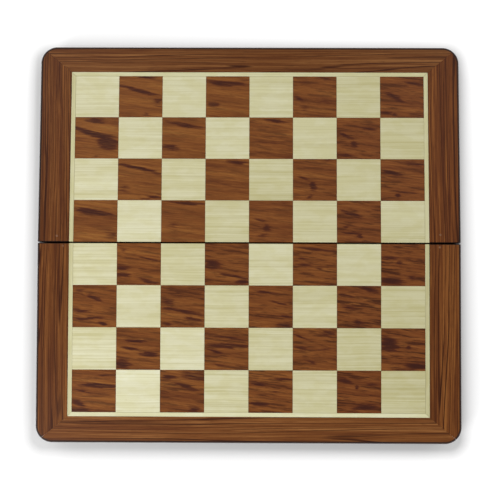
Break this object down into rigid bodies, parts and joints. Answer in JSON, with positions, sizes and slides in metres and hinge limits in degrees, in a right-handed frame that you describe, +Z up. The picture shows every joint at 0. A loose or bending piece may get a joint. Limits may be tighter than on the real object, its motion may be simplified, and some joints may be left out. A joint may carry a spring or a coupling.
{
  "type": "folding chess board",
  "caption": "Folding wooden chess board: inlaid squares in a mitred dark frame, in hinged tray halves that close into a flat case.",
  "frame": {"origin": "on the table, under the middle of the fold of the opened board", "axes": "+X along the fold to the right as a player at the front sees it, +Y to the rear half, +Z up from the table"},
  "size_m": [0.3064, 0.288, 0.0241],
  "materials": {
    "rosewood": "satin lacquered rosewood",
    "rosewood_veneer": "satin lacquered rosewood veneer",
    "maple": "satin lacquered maple veneer",
    "plywood": "plain plywood",
    "green_felt": "green wool felt",
    "brass": "brushed brass",
    "nickel_plate": "nickel plate"
  },
  "bodies": {
    "rear_half": {"rear_end_rail": "rosewood", "rear_left_rail": "rosewood", "rear_right_rail": "rosewood", "rear_hinge_rail": "rosewood", "rear_panel": "plywood", "rear_felt": "green_felt", "rear_light_squares": "maple", "rear_end_stringing": "maple", "rear_left_stringing": "maple", "rear_right_stringing": "maple", "rear_magnet": "nickel_plate", "dark_square_a5": "rosewood_veneer", "dark_square_a7": "rosewood_veneer", "dark_square_b6": "rosewood_veneer", "dark_square_b8": "rosewood_veneer", "dark_square_c5": "rosewood_veneer", "dark_square_c7": "rosewood_veneer", "dark_square_d6": "rosewood_veneer", "dark_square_d8": "rosewood_veneer", "dark_square_e5": "rosewood_veneer", "dark_square_e7": "rosewood_veneer", "dark_square_f6": "rosewood_veneer", "dark_square_f8": "rosewood_veneer", "dark_square_g5": "rosewood_veneer", "dark_square_g7": "rosewood_veneer", "dark_square_h6": "rosewood_veneer", "dark_square_h8": "rosewood_veneer", "left_hinge_rear_leaf": "brass", "right_hinge_rear_leaf": "brass", "left_hinge_pin": "brass", "right_hinge_pin": "brass"},
    "front_half": {"front_end_rail": "rosewood", "front_left_rail": "rosewood", "front_right_rail": "rosewood", "front_hinge_rail": "rosewood", "front_panel": "plywood", "front_felt": "green_felt", "front_light_squares": "maple", "front_end_stringing": "maple", "front_left_stringing": "maple", "front_right_stringing": "maple", "front_magnet": "nickel_plate", "dark_square_a1": "rosewood_veneer", "dark_square_a3": "rosewood_veneer", "dark_square_b2": "rosewood_veneer", "dark_square_b4": "rosewood_veneer", "dark_square_c1": "rosewood_veneer", "dark_square_c3": "rosewood_veneer", "dark_square_d2": "rosewood_veneer", "dark_square_d4": "rosewood_veneer", "dark_square_e1": "rosewood_veneer", "dark_square_e3": "rosewood_veneer", "dark_square_f2": "rosewood_veneer", "dark_square_f4": "rosewood_veneer", "dark_square_g1": "rosewood_veneer", "dark_square_g3": "rosewood_veneer", "dark_square_h2": "rosewood_veneer", "dark_square_h4": "rosewood_veneer", "left_hinge_front_leaf": "brass", "right_hinge_front_leaf": "brass"}
  },
  "joints": [
    {"name": "fold", "type": "hinge", "parent": "rear_half", "child": "front_half", "pos_m": [0, 0, 0.002], "axis": [1, 0, 0], "range_deg": [-1.72, 178.28]}
  ]
}
